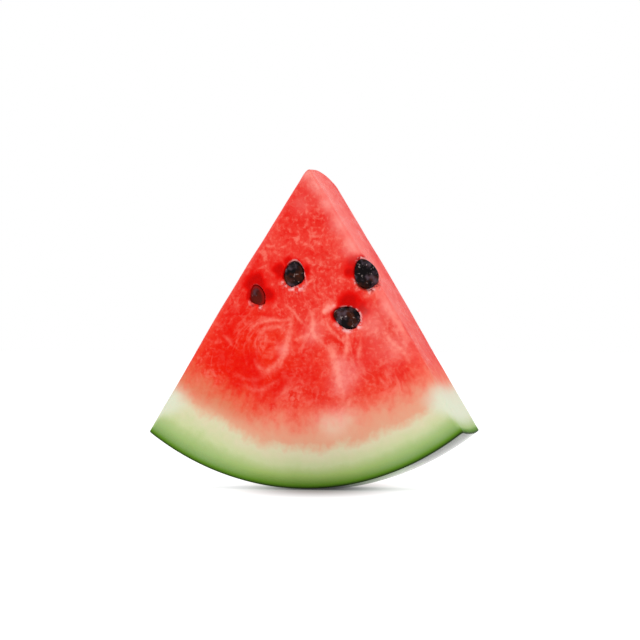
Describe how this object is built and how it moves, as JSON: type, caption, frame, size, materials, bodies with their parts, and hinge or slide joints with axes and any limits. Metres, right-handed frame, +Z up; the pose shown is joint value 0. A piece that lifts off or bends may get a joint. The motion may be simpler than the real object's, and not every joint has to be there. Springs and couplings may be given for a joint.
{
  "type": "watermelon slice",
  "caption": "Wedge of seeded watermelon standing on its green rind with the tip up: red flesh, pale rind and black seeds lying in sockets in its cut faces.",
  "frame": {"origin": "on the small flat spot under the rind, straight below the tip", "axes": "+Z up to the tip, +X to the right and -Y out of the large front cut face"},
  "size_m": [0.1302, 0.0316, 0.1275],
  "materials": {
    "flesh_and_rind": "wet red flesh over a pale rind with a waxy dark green skin",
    "seed": "smooth black-brown seed coat, wet"
  },
  "bodies": {
    "root": {"melon_slice": "flesh_and_rind", "seed_front_1": "seed", "seed_front_2": "seed", "seed_front_3": "seed", "seed_front_4": "seed", "seed_back_1": "seed", "seed_back_2": "seed", "seed_back_3": "seed", "seed_back_4": "seed", "seed_left_1": "seed"}
  },
  "joints": []
}
